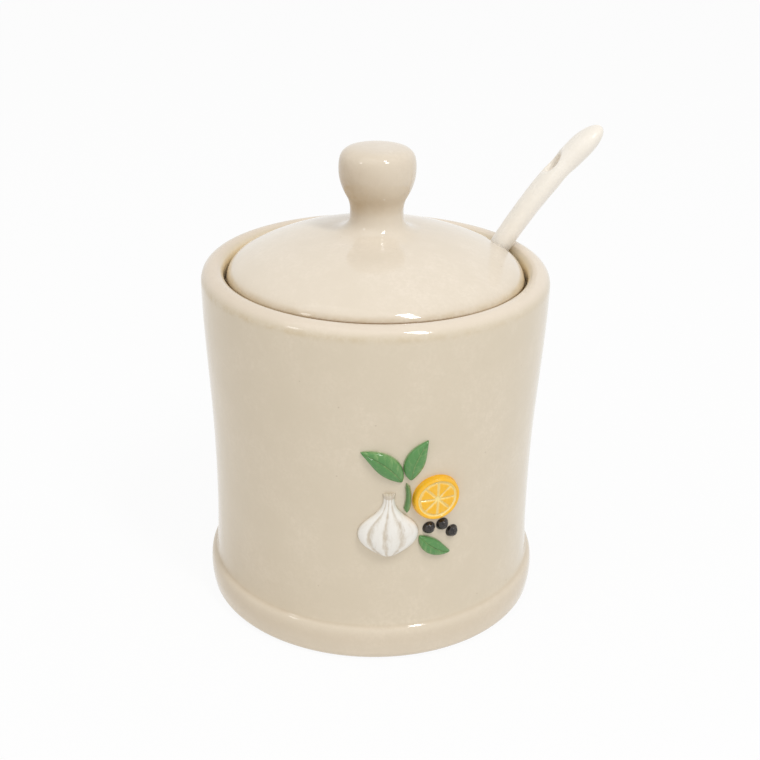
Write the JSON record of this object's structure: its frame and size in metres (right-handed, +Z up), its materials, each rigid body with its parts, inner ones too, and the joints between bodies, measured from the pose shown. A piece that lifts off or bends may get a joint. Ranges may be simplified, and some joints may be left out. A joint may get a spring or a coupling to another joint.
{
  "type": "seasoning jar",
  "caption": "Round ceramic seasoning jar with a rolled foot, inset domed lid with a waisted knob, raised painted relief on the front, and a spoon leaning out through a bite in the lid.",
  "frame": {"origin": "centre of the flat base, on the jar's axis and on the surface that the jar stands on", "axes": "+Z up along the jar's axis; -Y to the decorated front; +X to the side the spoon leans to"},
  "size_m": [0.1147, 0.101, 0.1392],
  "materials": {
    "jar_glaze": "glossy cream glaze with faint mottling",
    "lid_glaze": "glossy cream glaze",
    "knob_glaze": "glossy cream glaze, darker where it pools",
    "spoon_glaze": "satin ivory glaze",
    "garlic_white": "glossy white underglaze paint",
    "lemon_yellow": "glossy yellow and ochre underglaze paint",
    "leaf_green": "glossy green underglaze paint",
    "stem_green": "glossy dark green underglaze paint",
    "pepper_black": "glossy black underglaze paint"
  },
  "bodies": {
    "jar": {"jar_body": "jar_glaze", "garlic_bulb": "garlic_white", "lemon_slice": "lemon_yellow", "bay_stem": "stem_green", "bay_leaf_left": "leaf_green", "bay_leaf_top": "leaf_green", "bay_leaf_low": "leaf_green", "peppercorn_1": "pepper_black", "peppercorn_2": "pepper_black", "peppercorn_3": "pepper_black"},
    "lid": {"lid": "lid_glaze", "lid_knob": "knob_glaze"},
    "spoon": {"spoon": "spoon_glaze"}
  },
  "joints": [
    {"name": "lid_lift", "type": "slide", "parent": "jar", "child": "lid", "axis": [0, 0, 1], "range_m": [0, 0.06]},
    {"name": "spoon_slide", "type": "slide", "parent": "jar", "child": "spoon", "axis": [0.5105, 0, 0.8599], "range_m": [0, 0.05]}
  ]
}
